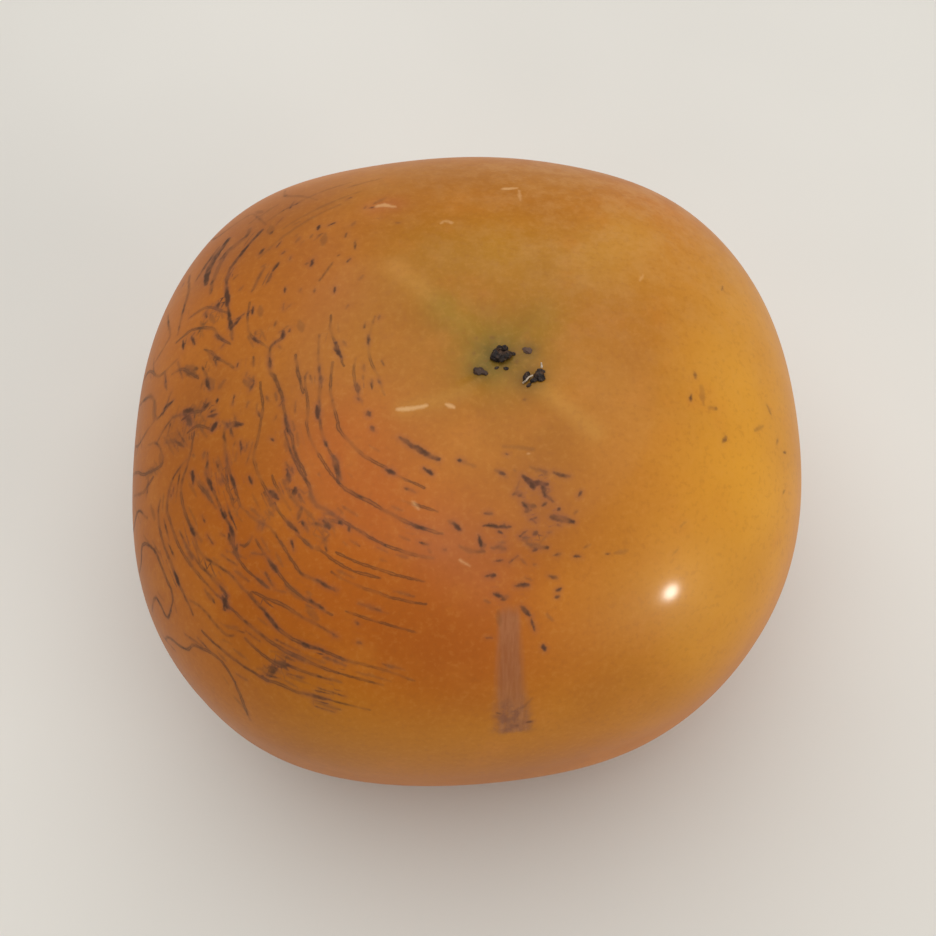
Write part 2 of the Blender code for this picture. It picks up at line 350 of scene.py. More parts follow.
marks = {
    "arcs": [
        (0.15, 0.10, 158, 13.5, 168, 13.4, 180, 12.9, 190, 12.2, 200, 12.1),
        (0.13, 0.15, 179, 14.4, 186, 14.6, 196, 14.5, 201, 14.3),
        (0.16, 0.25, 161, 18.1, 167, 17.5, 172, 16.7, 178, 15.9, 182, 15.6),
        (0.18, 0.35, 180, 16.7, 192, 17.1, 203, 17.2, 206, 17.4, 213, 17.1, 222, 16.6, 230, 16.1, 244, 15.5),
        (0.18, 0.35, 169, 18.6, 179, 18.2, 187, 18.0, 193, 18.3, 200, 18.8, 208, 19.2, 214, 19.2),
        (0.20, 0.45, 219, 19.8, 222, 20.3, 228, 19.9, 236, 19.3, 250, 19.0, 256, 18.8),
        (0.17, 0.30, 184, 19.6, 192, 19.5, 197, 19.7, 201, 20.2, 213, 20.3, 222, 20.3),
        (0.18, 0.45, 176, 20.7, 182, 20.3, 188, 19.9, 190, 19.8),
        (0.24, 0.55, 168, 22.7, 170, 22.5, 173, 23.7, 180, 23.4, 182, 22.9, 187, 22.2, 193, 22.0, 200, 22.1),
        (0.20, 0.55, 196, 22.0, 202, 22.0, 208, 22.25, 214, 22.3),
        (0.20, 0.60, 199, 22.5, 206, 22.6, 214, 22.6, 218, 22.8, 222, 23.3, 226, 22.8, 234, 22.3, 243, 22.0),
        (0.18, 0.35, 243, 22.0, 250, 21.6, 256, 21.3),
        (0.17, 0.40, 226, 23.9, 227, 23.5, 229, 23.0, 230, 22.8),
        (0.15, 0.30, 230, 24.4, 230, 25.6),
        (0.17, 0.30, 183, 24.4, 190, 24.2, 197, 25.1, 200, 25.8, 203, 26.4, 210, 26.5, 220, 26.5, 229, 26.5),
        (0.15, 0.25, 209, 25.3, 214, 25.4, 219, 25.5),
        (0.15, 0.25, 228, 26.4, 232, 26.0, 238, 25.8, 246, 24.9),
        (0.16, 0.30, 173, 24.0, 171.5, 24.8, 170, 25.8, 168, 26.7, 165, 27.3, 160, 27.9),
        (0.20, 0.45, 193, 26.7, 191.7, 27.7, 192.3, 28.8, 196, 29.0, 200, 29.3, 206, 29.3, 211, 29.6),
        (0.17, 0.35, 211, 29.6, 216, 28.9, 219, 28.2, 224, 28.3),
        (0.20, 0.45, 223, 28.2, 228, 28.7, 231, 28.9, 234.5, 28.5, 239, 28.2),
        (0.20, 0.40, 202, 30.2, 207, 30.1, 212, 30.3),
        (0.19, 0.45, 219, 30.0, 224, 30.3, 228, 30.5, 233, 30.7, 241, 30.3),
        (0.17, 0.50, 218, 30.2, 218.6, 31.2, 217.6, 31.7),
        (0.18, 0.45, 196, 31.3, 199, 31.6, 205, 31.7, 213, 31.6, 215, 31.7, 217, 32.4, 221, 32.7, 228, 32.2),
        (0.18, 0.40, 198, 33.8, 201, 33.3, 204, 32.6, 208, 32.1),
        (0.20, 0.45, 226, 33.7, 229.5, 33.0, 232, 32.5, 237, 32.1, 243, 31.8),
        (0.22, 0.50, 190, 32.6, 195, 33.7, 200, 35.6, 205.6, 35.9, 209, 35.8, 213, 36.1,
         217.5, 35.0, 221, 34.3),
        (0.22, 0.55, 221, 34.3, 227, 34.2, 230.6, 34.3, 234, 34.7, 239.5, 34.4, 242.5, 33.9, 247, 33.6),
        (0.20, 0.50, 195, 34.2, 197, 36.4, 201, 38.1, 204, 38.3, 210, 38.2, 216, 37.6, 219, 37.2, 223, 36.8),
        (0.20, 0.55, 207, 37.4, 213, 37.0, 217, 36.5, 221, 36.1, 223, 36.1),
        (0.22, 0.55, 224, 36.8, 231, 36.4, 236, 36.2, 240, 35.8, 247, 35.2),
        (0.20, 0.50, 230, 37.9, 236.5, 38.0, 238.5, 37.3, 241.5, 36.9, 246, 36.3),
        (0.14, 0.50, 236.3, 38.0, 236.2, 39.8),
        (0.14, 0.50, 237.2, 38.0, 236.9, 39.6),
        (0.22, 0.55, 199, 39.0, 201, 39.7, 205, 40.3, 210, 40.3, 214, 40.5, 217.5, 40.7, 220, 41.1),
        (0.18, 0.40, 218, 40.3, 221, 39.5, 226.6, 39.3, 228, 38.7),
        (0.20, 0.50, 223, 41.5, 229, 40.9, 236, 40.3, 238.5, 39.7, 241.5, 39.5, 243.5, 39.0, 247, 38.5),
        (0.15, 0.20, 234, 25.2, 246, 24.2, 256, 23.6),
        (0.15, 0.20, 236, 27.0, 247, 26.3, 258, 25.6),
        (0.14, 0.15, 240, 17.6, 252, 17.0),
        (0.14, 0.20, 243, 29.3, 251, 28.7, 258, 28.4),
        (0.14, 0.20, 246, 33.6, 254, 33.0, 260, 33.2),
        (0.14, 0.18, 247, 35.2, 255, 34.6),
        (0.14, 0.18, 247, 38.5, 254, 37.9),
    ],
    "dashes": [
        (0.20, 0.65, 168, 13.4, 172, 13.3),
        (0.28, 0.80, 223, 13.1, 232, 12.8, 243, 12.4),
        (0.24, 0.75, 191, 14.4, 195.3, 14.4),
        (0.14, 0.40, 190.6, 12.9, 192, 12.9),
        (0.24, 0.85, 205, 14.2, 207, 14.2),
        (0.20, 0.70, 212, 14.6, 214, 14.6),
        (0.22, 0.90, 240, 13.9, 244, 14.0),
        (0.24, 0.75, 172, 16.6, 175, 16.4, 178, 15.9),
        (0.26, 0.85, 229, 16.2, 232, 16.0),
        (0.20, 0.60, 181, 18.1, 183, 18.1),
        (0.20, 0.60, 185, 18.0, 187.4, 18.0),
        (0.28, 0.90, 195.3, 18.7, 199.6, 18.9),
        (0.20, 0.60, 208, 19.2, 210, 19.2),
        (0.32, 0.65, 214, 19.2, 218, 19.6, 221, 19.9),
        (0.22, 0.70, 246, 19.1, 251, 19.0),
        (0.50, 0.12, 164.5, 21.2, 167.5, 20.6),
        (0.22, 0.80, 176, 23.6, 179, 23.4),
        (0.22, 0.75, 168.6, 22.7, 170, 22.6),
        (0.18, 0.70, 196, 22.1, 200, 22.2),
        (0.28, 0.95, 209.8, 23.7, 213, 24.0),
        (0.28, 0.80, 215, 23.9, 216.4, 24.1),
        (0.24, 0.65, 217, 24.0, 219, 24.2),
        (0.30, 0.35, 215, 24.7, 220, 24.6),
        (0.20, 0.35, 220.5, 24.4, 225, 24.4),
        (0.24, 0.75, 226.6, 23.8, 229, 23.9),
        (0.24, 0.80, 229.7, 22.8, 230.5, 22.8),
        (0.22, 0.60, 223, 25.3, 225.6, 25.5),
        (0.24, 0.85, 212.3, 26.2, 215, 25.9),
        (0.22, 0.75, 220.6, 26.5, 224.5, 26.3),
        (0.22, 0.40, 226.4, 26.4, 229, 26.4),
        (0.20, 0.80, 197, 27.3, 199, 27.3),
        (0.20, 0.75, 206.2, 27.5, 208, 27.5),
        (0.18, 0.35, 215.5, 27.4, 217.5, 27.2),
        (0.24, 0.80, 198.6, 29.1, 200.4, 29.2),
        (0.26, 0.75, 203.5, 29.3, 206.5, 29.3),
        (0.14, 0.75, 216.4, 28.6, 217.4, 29.1),
        (0.14, 0.65, 217.4, 28.5, 218.2, 28.9),
        (0.24, 0.65, 234.5, 28.4, 237.8, 28.3),
        (0.24, 0.75, 224, 30.3, 227, 30.5),
        (0.40, 0.25, 230, 30.8, 234.5, 30.8),
        (0.22, 0.60, 235, 30.4, 239, 30.3),
        (0.45, 0.20, 236, 31.0, 239, 31.5),
        (0.24, 0.70, 213, 31.6, 215.4, 31.8),
        (0.24, 0.65, 209, 31.7, 211, 31.7),
        (0.40, 0.40, 201, 33.0, 205, 32.5),
        (0.28, 0.85, 198, 33.6, 200.4, 33.8),
        (0.24, 0.60, 225, 32.4, 227.5, 32.3),
        (0.22, 0.80, 243, 31.9, 244, 31.9),
        (0.16, 0.60, 247.8, 31.4, 248.6, 31.4),
        (0.16, 0.60, 245.8, 29.7, 246.5, 29.8),
        (0.20, 0.65, 208, 35.9, 210, 35.8),
        (0.26, 0.75, 230.5, 34.3, 234, 34.7),
        (0.20, 0.70, 239, 34.4, 240.2, 34.3),
        (0.22, 0.75, 242, 33.9, 243, 33.9),
        (0.20, 0.70, 245.3, 34.2, 246.3, 34.2),
        (0.30, 0.90, 222.4, 36.6, 224.6, 36.9),
        (0.22, 0.70, 220.6, 36.1, 222.4, 36.1),
        (0.22, 0.50, 219, 37.9, 222, 37.8),
        (0.24, 0.70, 236.5, 37.8, 239, 37.2),
        (0.22, 0.65, 238, 36.0, 241, 35.9),
        (0.24, 0.80, 235.5, 40.2, 236.8, 40.2),
        (0.26, 0.75, 243, 39.2, 247, 38.5),
        (0.24, 0.70, 212, 40.3, 214.6, 40.6),
        (0.30, 0.35, 198.5, 40.8, 201.5, 40.6),
        (0.24, 0.75, 170, 25.9, 171.4, 25.2),
        (0.20, 0.40, 175.3, 25.5, 178, 25.3),
        (0.30, 0.50, 181.4, 26.3, 184, 25.4),
        (0.20, 0.55, 181.2, 25.7, 182.4, 25.2),
        (0.40, 0.30, 161, 26.4, 163.5, 25.9),
        (0.24, 0.75, 161.2, 27.2, 163, 27.0),
    ],
    "lowLoops": [
        (0.20, 0.55, 205, 48.9, 205, 46.4, 203, 44.4, 206, 42.2, 212, 42.0, 215, 42.4, 216, 43.9),
        (0.20, 0.55, 216, 43.9, 216, 45.3, 212, 45.5, 212, 48.5),
        (0.20, 0.50, 217, 48.9, 218, 47.4, 222, 45.6, 223, 43.9, 226, 42.6, 229, 42.3, 232, 43.3),
        (0.20, 0.50, 232, 43.3, 234, 44.9, 236, 47.6),
        (0.18, 0.45, 196, 50.0, 198, 47.0, 197, 44.0, 200, 42.0),
    ],
    "tangle": [
        (0.20, 0.45, 171, 28.6, 169, 30.3, 166.5, 31.6, 166, 34.6, 168, 37.0),
        (0.18, 0.40, 177.4, 27.7, 175.6, 28.8, 174.2, 29.9, 172.8, 30.6, 171.4, 31.9),
        (0.18, 0.45, 185, 30.3, 186, 31.4, 185, 34.0, 185, 36.0, 188, 38.5),
        (0.20, 0.50, 181, 35.6, 183, 38.5, 179, 39.4, 177, 41.0, 176, 46.7),
        (0.18, 0.45, 183, 38.9, 185, 42.8, 184, 44.9),
        (0.18, 0.50, 187, 40.3, 188, 38.5, 191, 37.6, 193, 38.0, 192, 41.4, 190, 43.5, 188, 47.4),
        (0.20, 0.60, 190, 35.3, 192, 34.2),
        (0.18, 0.45, 194, 39.6, 195, 42.0, 193, 45.5),
        (0.18, 0.40, 172, 36.0, 174, 39.0, 171, 42.5, 172, 47.0),
        (0.18, 0.40, 178, 32.1, 176, 33.6, 174.6, 34.9, 175, 36.5),
        (0.18, 0.50, 163, 30.0, 161, 33.5, 163, 36.0),
        (0.18, 0.45, 191.5, 30.2, 189, 32.0, 189.5, 33.6),
    ],
    "knots": [
        (0.42, 0.85, 185.2, 33.8, 186.6, 33.3, 187.8, 33.0),
        (0.20, 0.80, 185.4, 32.6, 186.2, 34.4),
        (0.24, 0.85, 188.1, 29.6, 187.9, 30.6),
        (0.26, 0.80, 190.2, 29.6, 191.2, 30.3),
        (0.24, 0.65, 192.8, 26.9, 192.3, 27.9),
        (0.55, 0.35, 179.0, 30.6, 181.4, 30.1),
        (0.28, 0.45, 180.4, 28.7, 181.8, 29.3),
        (0.36, 0.40, 175.8, 32.4, 174.4, 34.2),
        (0.26, 0.55, 184.8, 34.7, 184.5, 35.8),
        (0.34, 0.35, 189.8, 35.2, 189.0, 37.0),
        (0.24, 0.60, 181.1, 35.7, 181.8, 37.3),
        (0.26, 0.65, 200.2, 32.0, 204.0, 31.8),
        (0.22, 0.50, 197.6, 31.4, 200.0, 32.1),
        (0.20, 0.50, 212.9, 28.7, 215.6, 28.4),
        (0.26, 0.60, 220.2, 24.5, 221.9, 25.5),
        (0.30, 0.35, 218.4, 23.0, 221.0, 23.4),
        (0.26, 0.65, 212.2, 26.2, 213.8, 25.9),
        (0.34, 0.90, 222.6, 36.7, 224.2, 37.0),
        (0.20, 0.60, 222.8, 36.2, 223.8, 37.5),
        (0.20, 0.40, 207.5, 35.8, 211.6, 35.3),
        (0.22, 0.60, 209.6, 37.4, 213.2, 37.3),
        (0.24, 0.65, 214.2, 32.1, 216.2, 32.5),
        (0.50, 0.30, 179.0, 39.3, 182.6, 39.1),
        (0.36, 0.30, 177.0, 40.4, 176.6, 42.6),
        (0.45, 0.30, 193.0, 38.8, 192.2, 41.2),
        (0.28, 0.30, 190.6, 38.0, 193.0, 38.0),
        (0.26, 0.70, 169.8, 29.6, 168.2, 30.9),
        (0.24, 0.65, 174.6, 29.6, 173.6, 30.4),
        (0.45, 0.40, 177.4, 32.4, 175.2, 34.4),
        (0.26, 0.75, 167.4, 34.6, 169.6, 33.6),
        (0.22, 0.60, 168, 35.8, 170, 35.3),
        (0.32, 0.65, 179, 31.0, 181, 30.6),
        (0.20, 0.65, 184.4, 29.4, 185.2, 29.5),
        (0.22, 0.65, 184.6, 30.4, 185.6, 31.2),
        (0.36, 0.90, 185.2, 32.4, 184.4, 34.0),
        (0.30, 0.85, 186.4, 33.5, 187.8, 33.0),
        (0.24, 0.80, 187, 29.7, 187, 30.4),
        (0.36, 0.85, 190.2, 29.7, 191.2, 30.3),
        (0.30, 0.55, 195.5, 31.6, 196.6, 31.9),
        (0.22, 0.60, 164, 28.3, 167, 29.0),
        (0.20, 0.55, 176, 37.6, 178, 37.0),
        (0.30, 0.40, 163, 32.6, 165, 31.6),
    ],
    "upperLeft": [
        (0.28, 0.75, 140.6, 32.7, 147, 32.9, 152.5, 33.0, 156.4, 32.0),
        (0.36, 0.80, 156.4, 32.0, 159, 31.2, 161, 30.7),
        (0.22, 0.60, 161, 30.6, 163.7, 29.8, 167, 29.0, 170, 28.5),
        (0.40, 0.50, 141, 34.8, 143, 34.3, 146, 35.2, 148, 35.6, 154, 34.9, 157.5, 34.2),
        (0.60, 0.70, 144, 37.3, 149, 37.2, 152.5, 36.7, 155, 35.8),
        (0.35, 0.60, 146, 38.0, 153.7, 38.3),
        (0.50, 0.35, 139.4, 32.0, 141, 31.0),
        (0.30, 0.40, 136, 35.6, 136, 37.2),
        (0.20, 0.35, 128, 30.3, 129, 33.5, 130, 35.5, 128, 38.0),
        (0.20, 0.35, 139, 33.0, 137.5, 35.6, 137, 37.6, 140.5, 39.4, 143, 41.0, 142.5, 43.5),
        (0.22, 0.45, 152, 41.0, 156, 38.8, 160, 38.0, 166, 37.2),
        (0.20, 0.40, 160, 41.8, 163, 40.2, 165.5, 38.9, 168, 39.6, 170, 41.0),
        (0.22, 0.55, 148, 27.1, 150.6, 27.1),
        (0.24, 0.60, 151.4, 27.1, 154.4, 27.0),
        (0.22, 0.50, 150, 28.4, 157, 28.3),
        (0.24, 0.60, 145.4, 30.2, 147, 30.3),
        (0.24, 0.70, 134.4, 26.2, 135.6, 25.9),
        (0.20, 0.50, 137.6, 25.9, 138.6, 25.8),
        (0.18, 0.50, 132.4, 22.7, 133.6, 22.4),
        (0.20, 0.85, 144, 23.5, 145, 23.4, 146.2, 23.2),
        (0.40, 0.20, 136, 24.6, 139, 23.8),
        (0.16, 0.35, 143, 17.2, 145, 17.2),
        (0.18, 0.30, 143, 21.2, 150, 21.2),
        (0.30, 0.20, 116, 24.5, 120, 24.3),
        (0.26, 0.85, 160.2, 32.1, 161.4, 31.9),
        (0.26, 0.85, 162.4, 33.5, 163.4, 33.1),
        (0.16, 0.25, 126, 27.0, 138, 28.6, 148, 30.0),
        (0.16, 0.25, 118, 27.5, 128, 28.3, 139, 30.0),
        (0.16, 0.25, 118, 30.5, 127, 31.6, 138, 33.2),
        (0.16, 0.30, 133, 34.6, 140, 36.0),
        (0.16, 0.25, 112, 29.0, 121, 29.6),
    ],
    "front": [
        (0.30, 0.95, 281.6, 12.6, 283.2, 13.0, 285, 13.4, 287.6, 13.5, 290.6, 13.9),
        (0.26, 1.00, 284.4, 13.3, 285.2, 13.9),
        (0.30, 1.00, 288.6, 13.9, 288.9, 14.8),
        (0.14, 0.70, 289.4, 14.9, 291.2, 15.6),
        (0.22, 0.70, 294.6, 13.1, 297, 13.5, 299.6, 13.9),
        (0.18, 0.25, 285.6, 11.9, 288.6, 12.3, 291.4, 12.8),
        (0.22, 0.95, 271.6, 12.1, 273.6, 12.3),
        (0.14, 0.30, 269.4, 11.9, 275, 12.6),
        (0.16, 0.30, 252, 11.6, 259.6, 11.8),
        (0.20, 0.85, 251.0, 11.7, 252.4, 11.6),
        (0.20, 0.12, 273, 9.5, 281, 9.7, 289, 10.2),
        (0.12, 0.35, 278.0, 11.9, 278.5, 12.0),
        (0.20, 0.85, 279.4, 14.4, 280.4, 14.3),
        (0.24, 0.45, 281.4, 15.1, 282.8, 15.5, 284.6, 15.6),
        (0.22, 0.65, 281.2, 16.0, 283.2, 15.9),
        (0.16, 0.60, 287.4, 15.7, 288.8, 15.5),
        (0.16, 0.90, 291.9, 16.5, 292.7, 16.4),
        (0.16, 0.85, 299.8, 16.0, 301.2, 15.8),
        (0.30, 0.80, 289.5, 16.9, 292.4, 17.4, 295.6, 18.0),
        (0.18, 0.60, 290.8, 17.8, 291.6, 18.0),
        (0.24, 0.95, 258.4, 17.6, 260.8, 18.0),
        (0.16, 0.25, 256.6, 17.5, 259, 17.7),
        (0.18, 0.60, 267.6, 17.3, 270, 17.2, 273, 17.3, 276.4, 17.3),
        (0.20, 0.75, 272.6, 17.7, 273.8, 17.9),
        (0.16, 0.75, 266.8, 18.2, 267.4, 18.7, 268, 19.1),
        (0.22, 0.90, 283.4, 18.2, 284.3, 18.0),
        (0.20, 0.30, 279.8, 18.6, 282.4, 18.5),
        (0.24, 0.65, 281.2, 18.9, 283.4, 19.3, 286.6, 19.6),
        (0.20, 0.95, 282.9, 19.7, 284.0, 19.6),
        (0.22, 0.75, 271.2, 19.3, 273.2, 19.2, 275, 19.4),
        (0.20, 0.30, 262, 19.5, 265, 19.8, 269, 19.7),
        (0.14, 0.60, 257.9, 20.2, 258.7, 20.2),
        (0.12, 0.30, 253.9, 20.7, 254.6, 20.8),
        (0.18, 0.55, 288.2, 20.5, 290, 20.5),
        (0.18, 0.70, 293.2, 21.1, 294.6, 21.3),
        (0.14, 0.25, 296, 20.7, 298, 20.6),
        (0.12, 0.40, 301, 22.1, 301.8, 22.2),
        (0.24, 0.12, 303, 22.4, 306, 22.8),
        (0.20, 0.90, 271.8, 21.9, 272.8, 21.8),
        (0.12, 0.50, 282.7, 21.0, 283.3, 21.0),
        (0.24, 0.90, 278.2, 22.9, 279.6, 22.8, 281, 22.9),
        (0.26, 1.00, 273.0, 23.6, 274.6, 23.8),
        (0.20, 0.50, 274.8, 24.1, 276.2, 23.8),
        (0.30, 0.20, 274.2, 25.2, 274.8, 26.6),
        (0.16, 0.60, 286.3, 22.3, 288, 22.6),
        (0.18, 0.90, 287.6, 23.8, 288.5, 23.7),
        (0.16, 0.70, 287.2, 24.4, 287.9, 24.4),
        (0.26, 0.75, 279.4, 24.8, 280.4, 25.3, 281.2, 25.8),
        (0.18, 0.90, 281.5, 26.1, 281.8, 26.7, 282.1, 27.3),
        (0.26, 0.85, 283.7, 29.0, 284.0, 29.4),
        (0.20, 0.25, 285, 25.9, 286, 26.6),
        (0.12, 0.40, 254.5, 32.5, 255.5, 32.5),
        (0.12, 0.35, 314.5, 25.7, 316, 25.7),
        (0.12, 0.35, 319.5, 24.2, 321, 24.2),
        (0.16, 0.60, 275.2, 36.2, 276, 36.4),
        (0.16, 0.80, 280.4, 37.9, 281.2, 37.8),
        (0.14, 0.60, 278.4, 38.2, 279, 38.3),
        (0.12, 0.25, 279.6, 35.9, 281.4, 34.6),
    ],
    "flecks": [
        (0.22, 0.55, 349.5, 19.1, 351.5, 19.1),
        (0.22, 0.50, 357, 19.5, 358.5, 19.5),
        (0.34, 0.10, 350, 20.6, 355, 20.2),
        (0.22, 0.35, 349.7, 21.2, 350.4, 22.2),
        (0.22, 0.50, 343, 23.6, 344.5, 23.8),
        (0.22, 0.40, 350, 27.4, 352, 28.6),
        (0.22, 0.45, 355.5, 30.0, 357, 29.2),
        (0.20, 0.50, 350.5, 31.2, 351.5, 31.4),
        (0.20, 0.40, 350, 32.8, 350.5, 33.4),
        (0.18, 0.40, 343, 34.0, 344, 34.4),
        (0.18, 0.35, 22.4, 26.4, 23.4, 27.0),
        (0.15, 0.30, 106, 2.6, 112, 2.7),
        (0.15, 0.25, 135, 3.4, 139, 3.4),
        (0.15, 0.25, 163, 2.8, 168, 2.8),
        (0.15, 0.55, 28, 1.5, 36, 1.5),
        (0.14, 0.40, 350, 1.5, 358, 1.5),
        (0.18, 0.35, 296, 4.9, 299, 5.0),
    ],
    # pale marks: scars, and painted glints on the ridge near the apex and on the far top
    "scars": [
        (0.24, -1.0, 210, 11.6, 213, 10.6, 217, 9.1),
        (0.16, -1.0, 225, 7.6, 231, 7.3),
        (0.30, -0.8, 116, 22.4, 118, 23.4, 120, 23.8),
        (0.14, -0.7, 79, 20.6, 79.5, 22.6),
        (0.30, -0.8, 80, 23.0, 84, 22.7),
        (0.12, -0.7, 103, 17.2, 105, 17.8, 107, 17.5),
        (0.16, -0.4, 32, 17.2, 33, 18.0),
        (0.10, -1.0, 285.5, 10.5, 286.5, 10.5),
        (0.12, -0.6, 263, 20.8, 266, 21.2),
        (0.14, -0.5, 243, 17.2, 246, 17.5),
    ],
    "echoes": 160,              # short faint dashes beside the long lines
    "echoArc": (0.45, 1.5),     # mm to the side
    "spatter": [                # small specks: how many, turn and spread, arc and spread
        (18, 283, 7, 18, 4.5),
        (8, 275, 8, 20, 4),
        (60, 195, 22, 28, 6),
        (40, 150, 14, 27, 5),
    ],
    "echoTurn": (1.0, 5.0),     # degrees long
    "echoWidth": (0.08, 0.17),
    "echoDark": (0.1, 0.6),
    "speckTurn": (0.3, 1.1),    # degrees, half of its length
    "speckLean": 0.2,
    "speckWidth": (0.07, 0.15),
    "speckDark": (0.3, 0.9),
    "wobble": 0.03,             # mm that a line strays
}


strokes = {
    "joinSteps": 4,             # steps between two points of a row
    "apart": 1.4 * mm,          # marks closer than this go to different layers
    "reach": 1.6 * mm,          # how far from a mark its fields are set
    "unset": 6 * mm,            # the distance given to skin that no mark comes near
    "slimLine": 0.84,           # share of the typed width that a long line keeps
    "slimSpeck": 0.92,
    "tipDash": 0.45,            # share of the width left at the ends of a dash
    "tipLine": 0.6,
}


def drawnLine(row):
    # a row's points joined by a smooth line, with a slight tremble
    width, dark = row[0], row[1]
    turns = np.array(row[2::2], float)
    arcs = np.array(row[3::2], float)
    if len(turns) > 2:
        keys = np.arange(len(turns))
        steps = np.linspace(0, len(turns) - 1, (len(turns) - 1) * strokes["joinSteps"] + 1)
        before = np.clip(steps.astype(int), 0, len(turns) - 2)
        share = steps - before
        values = []
        for line in (turns, arcs):
            slope = np.gradient(line, keys)
            a, b = line[before], line[before + 1]
            ta, tb = slope[before], slope[before + 1]
            s2, s3 = share**2, share**3
            values.append(
                (2 * s3 - 3 * s2 + 1) * a + (s3 - 2 * s2 + share) * ta
                + (3 * s2 - 2 * s3) * b + (s3 - s2) * tb
            )
        turns, arcs = values
        arcs = arcs + rng.normal(0, marks["wobble"], len(arcs))
    return width, dark, turns, arcs


def splitApart(lines, count):
    # neighbours go to different layers, so that the fields of close marks do not mix
    parts = [[] for _ in range(count)]
    taken = [np.full((1, 3), 9.0) for _ in range(count)]
    for line in lines:
        here = skinFinder(line[2], line[3])[0]
        gaps = [np.linalg.norm(here[:, None] - there[None], axis=2).min() for there in taken]
        free = [i for i, gap in enumerate(gaps) if gap > strokes["apart"]]
        pick = free[0] if free else int(np.argmax(gaps))
        parts[pick].append(line)
        taken[pick] = np.concatenate([taken[pick], here])
    return parts


def markLayers():
    # long lines in one layer, dashes and specks in another, so that they can cross
    cracks = [drawnLine(row) for group in ("arcs", "lowLoops", "tangle") for row in marks[group]]
    lines = []
    for group in ("dashes", "knots", "upperLeft", "front", "flecks", "scars"):
        lines += [drawnLine(row) for row in marks[group]]
    for _ in range(marks["echoes"]):
        width, dark, turns, arcs = cracks[rng.integers(len(cracks))]
        at = rng.integers(len(turns) - 1)
        span = rng.uniform(*marks["echoTurn"]) / 2
        aside = rng.uniform(*marks["echoArc"]) * rng.choice((-1, 1))
        slope = (arcs[at + 1] - arcs[at]) / (turns[at + 1] - turns[at] + 1e-6)
        slope = float(np.clip(slope, -0.3, 0.3))
        ends = np.array((-span, span))
        echo = (rng.uniform(*marks["echoWidth"]), rng.uniform(*marks["echoDark"]))
        lines.append((*echo, turns[at] + ends, arcs[at] + aside + slope * ends))
    for count, turn, turnSpread, arc, arcSpread in marks["spatter"]:
        for _ in range(count):
            at, deep = rng.normal(turn, turnSpread), rng.normal(arc, arcSpread)
            lean, half = rng.normal(0, marks["speckLean"]), rng.uniform(*marks["speckTurn"])
            ends = np.array((-half, half))
            speck = (rng.uniform(*marks["speckWidth"]), rng.uniform(*marks["speckDark"]))
            lines.append((*speck, at + ends, deep + lean * ends))
    layers = {}
    for kind, letters, group in (("line", "AB", cracks), ("speck", "ABC", lines)):
        for letter, part in zip(letters, splitApart(group, len(letters))):
            layers[kind + letter] = part
    return layers


def markFields(points, lines, prefix):
    # for each vertex: how far the nearest line is, on which side, how wide and how dark it is
    near = np.full(len(points), strokes["unset"])
    side = np.full(len(points), strokes["unset"])
    past = np.zeros(len(points))
    width = np.full(len(points), 0.2 * mm)
    dark = np.zeros(len(points))
    reach = strokes["reach"]
    slim = strokes["slimLine" if prefix.startswith("line") else "slimSpeck"]
    for halfWidth, darkness, turns, arcs in lines:
        line, normals = skinFinder(turns, arcs)
        low, high = line.min(0) - reach, line.max(0) + reach
        close = np.nonzero(((points > low) & (points < high)).all(1))[0]
        if not len(close):
            continue
        spot = points[close]
        count = len(line) - 1
        tips = strokes["tipDash" if count < 3 else "tipLine"]
        for i, (a, b, up) in enumerate(zip(line[:-1], line[1:], normals)):
            along = b - a
            length = np.linalg.norm(along) + 1e-9
            share = np.clip(((spot - a) @ along) / length**2, 0, 1)
            gap = spot - (a + share[:, None] * along)
            far = np.linalg.norm(gap, axis=1)
            cross = np.cross(up, along / length)
            aside = gap @ cross
            taper = tips + (1 - tips) * np.sin((i + share) / count * math.pi)
            wide = halfWidth * mm * taper * slim + 0 * share
            better = far - wide < near[close] - width[close]
            chosen = close[better]
            near[chosen] = far[better]
            side[chosen] = aside[better]
            past[chosen] = np.sqrt(np.maximum(0, far**2 - aside**2))[better]
            width[chosen] = wide[better]
            dark[chosen] = darkness
    return {
        prefix + "Near": near / mm,
        prefix + "Side": side / mm,
        prefix + "Past": past / mm,
        prefix + "Width": width / mm,
        prefix + "Dark": dark,
    }


# Soft areas of colour, laid one over another: colour, from turn and arc, to turn and arc,
# radius in mm, strength

tones = {
    "ground": (0.53, 0.160, 0.004),
    "deep": (0.515, 0.108, 0.003),
    "ember": (0.43, 0.103, 0.004),
    "amber": (0.43, 0.148, 0.003),
    # painted shade, used low on the front near the base
    "paintedBaseShade": (0.38, 0.125, 0.005),
    # painted shade, used on the left side away from the lamps
    "shade": (0.44, 0.122, 0.010),
    "ochre": (0.55, 0.205, 0.004),
    "olive": (0.45, 0.205, 0.004),
    "moss": (0.34, 0.180, 0.006),
    "green": (0.24, 0.165, 0.010),
    # painted grazing reflection and shade of the far rim, greyer and darker
    "rimSheenAndShade": (0.44, 0.165, 0.010),
    "warm": (0.50, 0.196, 0.022),
    "yellow": (0.70, 0.315, 0.022),
    "blush": (0.50, 0.150, 0.040),
    # painted sheen: pale lines on the four arm crests and a pale area on the right flank
    "paintedSheen": (0.60, 0.285, 0.040),
    "bruise": (0.34, 0.105, 0.022),
    # dark stain and painted contact shade round the style remnants
    "darkStainAndShade": (0.10, 0.065, 0.012),
}

